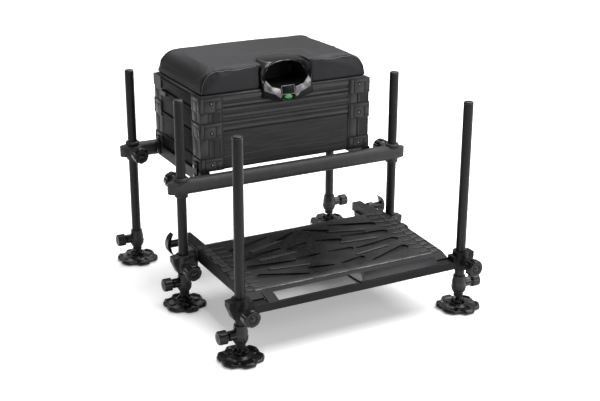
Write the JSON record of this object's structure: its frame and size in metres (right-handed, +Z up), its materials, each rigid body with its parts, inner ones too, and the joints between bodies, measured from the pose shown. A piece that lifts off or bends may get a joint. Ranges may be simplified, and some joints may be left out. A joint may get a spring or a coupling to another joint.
{
  "type": "fishing seat box",
  "caption": "Fishing seat box: cushioned lid on a stack of trays, carried by a rail frame on telescopic legs with mud feet, and a sliding footplate on legs of its own.",
  "frame": {"origin": "on the ground under the middle of the footprint", "axes": "+Z up, +X across the seat to the sitter's left when seated facing the footplate, -Y towards the footplate"},
  "size_m": [0.744, 0.815, 0.6139],
  "materials": {
    "leg_tube": "dark anodised tube, satin",
    "stem_tube": "dark anodised tube, satin",
    "foot_plastic": "moulded charcoal plastic",
    "knob_plastic": "moulded black plastic",
    "rail_metal": "dark anodised tube with cast clamps, satin",
    "casting_metal": "black coated casting, satin",
    "box_plastic": "textured black panels",
    "corner_plastic": "moulded black corners, fine grain",
    "screw_steel": "blackened steel heads",
    "board_plastic": "dark moulded board with a pale edge",
    "seat_cover": "dark grey coated cloth over foam",
    "scoop_gloss": "glossy black moulding",
    "lip_silver": "silver-grey glossy trim",
    "button_green": "mid-green button",
    "hinge_steel": "plain steel",
    "deck_plastic": "charcoal tread plate",
    "strip_metal": "brushed strip"
  },
  "bodies": {
    "seat_frame": {"front_rail": "rail_metal", "rear_rail": "rail_metal", "side_rails": "rail_metal", "frame_screws": "screw_steel", "base_tub": "box_plastic", "base_corners": "corner_plastic", "middle_ring": "box_plastic", "middle_corners": "corner_plastic", "side_lugs": "corner_plastic", "tray_hinge_pins": "hinge_steel"},
    "upper_tray": {"top_tray": "box_plastic", "top_corners": "corner_plastic", "top_corner_screws": "screw_steel", "lid_hinge_pins": "hinge_steel"},
    "lid": {"lid_board": "board_plastic", "seat_cushion": "seat_cover", "latch_scoop": "scoop_gloss", "latch_lip": "lip_silver"},
    "release_button": {"release_button": "button_green"},
    "arm_carriers": {"arm_carriers": "casting_metal"},
    "footplate": {"footplate_arms": "rail_metal", "footplate_deck": "deck_plastic", "footplate_frame": "casting_metal", "kick_strips": "strip_metal"},
    "leg_rear_left": {"leg_rear_left": "leg_tube"},
    "stem_rear_left": {"stem_rear_left": "stem_tube"},
    "foot_rear_left": {"foot_rear_left": "foot_plastic"},
    "stem_knob_rear_left": {"stem_knob_rear_left": "knob_plastic"},
    "leg_rear_right": {"leg_rear_right": "leg_tube"},
    "stem_rear_right": {"stem_rear_right": "stem_tube"},
    "foot_rear_right": {"foot_rear_right": "foot_plastic"},
    "stem_knob_rear_right": {"stem_knob_rear_right": "knob_plastic"},
    "leg_seat_left": {"leg_seat_left": "leg_tube"},
    "stem_seat_left": {"stem_seat_left": "stem_tube"},
    "foot_seat_left": {"foot_seat_left": "foot_plastic"},
    "stem_knob_seat_left": {"stem_knob_seat_left": "knob_plastic"},
    "leg_seat_right": {"leg_seat_right": "leg_tube"},
    "stem_seat_right": {"stem_seat_right": "stem_tube"},
    "foot_seat_right": {"foot_seat_right": "foot_plastic"},
    "stem_knob_seat_right": {"stem_knob_seat_right": "knob_plastic"},
    "leg_plate_left": {"leg_plate_left": "leg_tube"},
    "stem_plate_left": {"stem_plate_left": "stem_tube"},
    "foot_plate_left": {"foot_plate_left": "foot_plastic"},
    "stem_knob_plate_left": {"stem_knob_plate_left": "knob_plastic"},
    "leg_plate_right": {"leg_plate_right": "leg_tube"},
    "stem_plate_right": {"stem_plate_right": "stem_tube"},
    "foot_plate_right": {"foot_plate_right": "foot_plastic"},
    "stem_knob_plate_right": {"stem_knob_plate_right": "knob_plastic"},
    "rail_knob_front_left": {"rail_knob_front_left": "knob_plastic"},
    "rail_knob_rear_left": {"rail_knob_rear_left": "knob_plastic"},
    "carrier_knob_left": {"carrier_knob_left": "knob_plastic"},
    "plate_knob_left": {"plate_knob_left": "knob_plastic"},
    "tee_knob_left": {"tee_knob_left": "knob_plastic"},
    "rail_knob_front_right": {"rail_knob_front_right": "knob_plastic"},
    "rail_knob_rear_right": {"rail_knob_rear_right": "knob_plastic"},
    "carrier_knob_right": {"carrier_knob_right": "knob_plastic"},
    "plate_knob_right": {"plate_knob_right": "knob_plastic"},
    "tee_knob_right": {"tee_knob_right": "knob_plastic"}
  },
  "joints": [
    {"name": "tray_hinge", "type": "hinge", "parent": "seat_frame", "child": "upper_tray", "pos_m": [0, 0.339, 0.5115], "axis": [-1, 0, 0], "range_deg": [0, 80]},
    {"name": "lid_hinge", "type": "hinge", "parent": "upper_tray", "child": "lid", "pos_m": [0, 0.339, 0.544], "axis": [-1, 0, 0], "range_deg": [0, 95]},
    {"name": "release_press", "type": "slide", "parent": "lid", "child": "release_button", "axis": [0, 1, 0], "range_m": [0, 0.003], "stiffness_N_per_m": 600, "springref_m": -0.003},
    {"name": "carrier_height", "type": "slide", "parent": "seat_frame", "child": "arm_carriers", "axis": [0, 0, 1], "range_m": [-0.004, 0.11]},
    {"name": "footplate_reach", "type": "slide", "parent": "arm_carriers", "child": "footplate", "axis": [0, 1, 0], "range_m": [-0.028, 0]},
    {"name": "leg_slide_rear_left", "type": "slide", "parent": "seat_frame", "child": "leg_rear_left", "axis": [0, 0, 1], "range_m": [-0.15, 0.15]},
    {"name": "stem_slide_rear_left", "type": "slide", "parent": "leg_rear_left", "child": "stem_rear_left", "axis": [0, 0, 1], "range_m": [-0.16, 0]},
    {"name": "foot_tilt_rear_left", "type": "hinge", "parent": "stem_rear_left", "child": "foot_rear_left", "pos_m": [-0.313, 0.35, 0.022], "axis": [1, 0, 0], "range_deg": [-20, 20]},
    {"name": "stem_knob_turn_rear_left", "type": "hinge", "parent": "leg_rear_left", "child": "stem_knob_rear_left", "pos_m": [-0.353, 0.35, 0.068], "axis": [1, 0, 0], "continuous": true},
    {"name": "leg_slide_rear_right", "type": "slide", "parent": "seat_frame", "child": "leg_rear_right", "axis": [0, 0, 1], "range_m": [-0.15, 0.15]},
    {"name": "stem_slide_rear_right", "type": "slide", "parent": "leg_rear_right", "child": "stem_rear_right", "axis": [0, 0, 1], "range_m": [-0.16, 0]},
    {"name": "foot_tilt_rear_right", "type": "hinge", "parent": "stem_rear_right", "child": "foot_rear_right", "pos_m": [0.313, 0.35, 0.022], "axis": [1, 0, 0], "range_deg": [-20, 20]},
    {"name": "stem_knob_turn_rear_right", "type": "hinge", "parent": "leg_rear_right", "child": "stem_knob_rear_right", "pos_m": [0.353, 0.35, 0.068], "axis": [1, 0, 0], "continuous": true},
    {"name": "leg_slide_seat_left", "type": "slide", "parent": "seat_frame", "child": "leg_seat_left", "axis": [0, 0, 1], "range_m": [-0.15, 0.005]},
    {"name": "stem_slide_seat_left", "type": "slide", "parent": "leg_seat_left", "child": "stem_seat_left", "axis": [0, 0, 1], "range_m": [-0.16, 0]},
    {"name": "foot_tilt_seat_left", "type": "hinge", "parent": "stem_seat_left", "child": "foot_seat_left", "pos_m": [-0.313, 0.004, 0.022], "axis": [1, 0, 0], "range_deg": [-20, 20]},
    {"name": "stem_knob_turn_seat_left", "type": "hinge", "parent": "leg_seat_left", "child": "stem_knob_seat_left", "pos_m": [-0.353, 0.004, 0.068], "axis": [1, 0, 0], "continuous": true},
    {"name": "leg_slide_seat_right", "type": "slide", "parent": "seat_frame", "child": "leg_seat_right", "axis": [0, 0, 1], "range_m": [-0.15, 0.005]},
    {"name": "stem_slide_seat_right", "type": "slide", "parent": "leg_seat_right", "child": "stem_seat_right", "axis": [0, 0, 1], "range_m": [-0.16, 0]},
    {"name": "foot_tilt_seat_right", "type": "hinge", "parent": "stem_seat_right", "child": "foot_seat_right", "pos_m": [0.313, 0.004, 0.022], "axis": [1, 0, 0], "range_deg": [-20, 20]},
    {"name": "stem_knob_turn_seat_right", "type": "hinge", "parent": "leg_seat_right", "child": "stem_knob_seat_right", "pos_m": [0.353, 0.004, 0.068], "axis": [1, 0, 0], "continuous": true},
    {"name": "leg_slide_plate_left", "type": "slide", "parent": "footplate", "child": "leg_plate_left", "axis": [0, 0, 1], "range_m": [-0.15, 0.015]},
    {"name": "stem_slide_plate_left", "type": "slide", "parent": "leg_plate_left", "child": "stem_plate_left", "axis": [0, 0, 1], "range_m": [-0.16, 0]},
    {"name": "foot_tilt_plate_left", "type": "hinge", "parent": "stem_plate_left", "child": "foot_plate_left", "pos_m": [-0.313, -0.336, 0.022], "axis": [1, 0, 0], "range_deg": [-20, 20]},
    {"name": "stem_knob_turn_plate_left", "type": "hinge", "parent": "leg_plate_left", "child": "stem_knob_plate_left", "pos_m": [-0.353, -0.336, 0.068], "axis": [1, 0, 0], "continuous": true},
    {"name": "leg_slide_plate_right", "type": "slide", "parent": "footplate", "child": "leg_plate_right", "axis": [0, 0, 1], "range_m": [-0.15, 0.015]},
    {"name": "stem_slide_plate_right", "type": "slide", "parent": "leg_plate_right", "child": "stem_plate_right", "axis": [0, 0, 1], "range_m": [-0.16, 0]},
    {"name": "foot_tilt_plate_right", "type": "hinge", "parent": "stem_plate_right", "child": "foot_plate_right", "pos_m": [0.313, -0.336, 0.022], "axis": [1, 0, 0], "range_deg": [-20, 20]},
    {"name": "stem_knob_turn_plate_right", "type": "hinge", "parent": "leg_plate_right", "child": "stem_knob_plate_right", "pos_m": [0.353, -0.336, 0.068], "axis": [1, 0, 0], "continuous": true},
    {"name": "rail_knob_front_turn_left", "type": "hinge", "parent": "seat_frame", "child": "rail_knob_front_left", "pos_m": [-0.313, 0.004, 0.328], "axis": [0, 1, 0], "continuous": true},
    {"name": "rail_knob_rear_turn_left", "type": "hinge", "parent": "seat_frame", "child": "rail_knob_rear_left", "pos_m": [-0.313, 0.35, 0.328], "axis": [0, 1, 0], "continuous": true},
    {"name": "carrier_knob_turn_left", "type": "hinge", "parent": "arm_carriers", "child": "carrier_knob_left", "pos_m": [-0.313, 0.004, 0.116], "axis": [0, 1, 0], "continuous": true},
    {"name": "plate_knob_turn_left", "type": "hinge", "parent": "footplate", "child": "plate_knob_left", "pos_m": [-0.313, -0.336, 0.134], "axis": [0, 1, 0], "continuous": true},
    {"name": "tee_knob_turn_left", "type": "hinge", "parent": "arm_carriers", "child": "tee_knob_left", "pos_m": [-0.3, 0.072, 0.149], "axis": [1, 0, 0], "continuous": true},
    {"name": "rail_knob_front_turn_right", "type": "hinge", "parent": "seat_frame", "child": "rail_knob_front_right", "pos_m": [0.313, 0.004, 0.328], "axis": [0, 1, 0], "continuous": true},
    {"name": "rail_knob_rear_turn_right", "type": "hinge", "parent": "seat_frame", "child": "rail_knob_rear_right", "pos_m": [0.313, 0.35, 0.328], "axis": [0, 1, 0], "continuous": true},
    {"name": "carrier_knob_turn_right", "type": "hinge", "parent": "arm_carriers", "child": "carrier_knob_right", "pos_m": [0.313, 0.004, 0.116], "axis": [0, 1, 0], "continuous": true},
    {"name": "plate_knob_turn_right", "type": "hinge", "parent": "footplate", "child": "plate_knob_right", "pos_m": [0.313, -0.336, 0.134], "axis": [0, 1, 0], "continuous": true},
    {"name": "tee_knob_turn_right", "type": "hinge", "parent": "arm_carriers", "child": "tee_knob_right", "pos_m": [0.3, 0.072, 0.149], "axis": [1, 0, 0], "continuous": true}
  ]
}
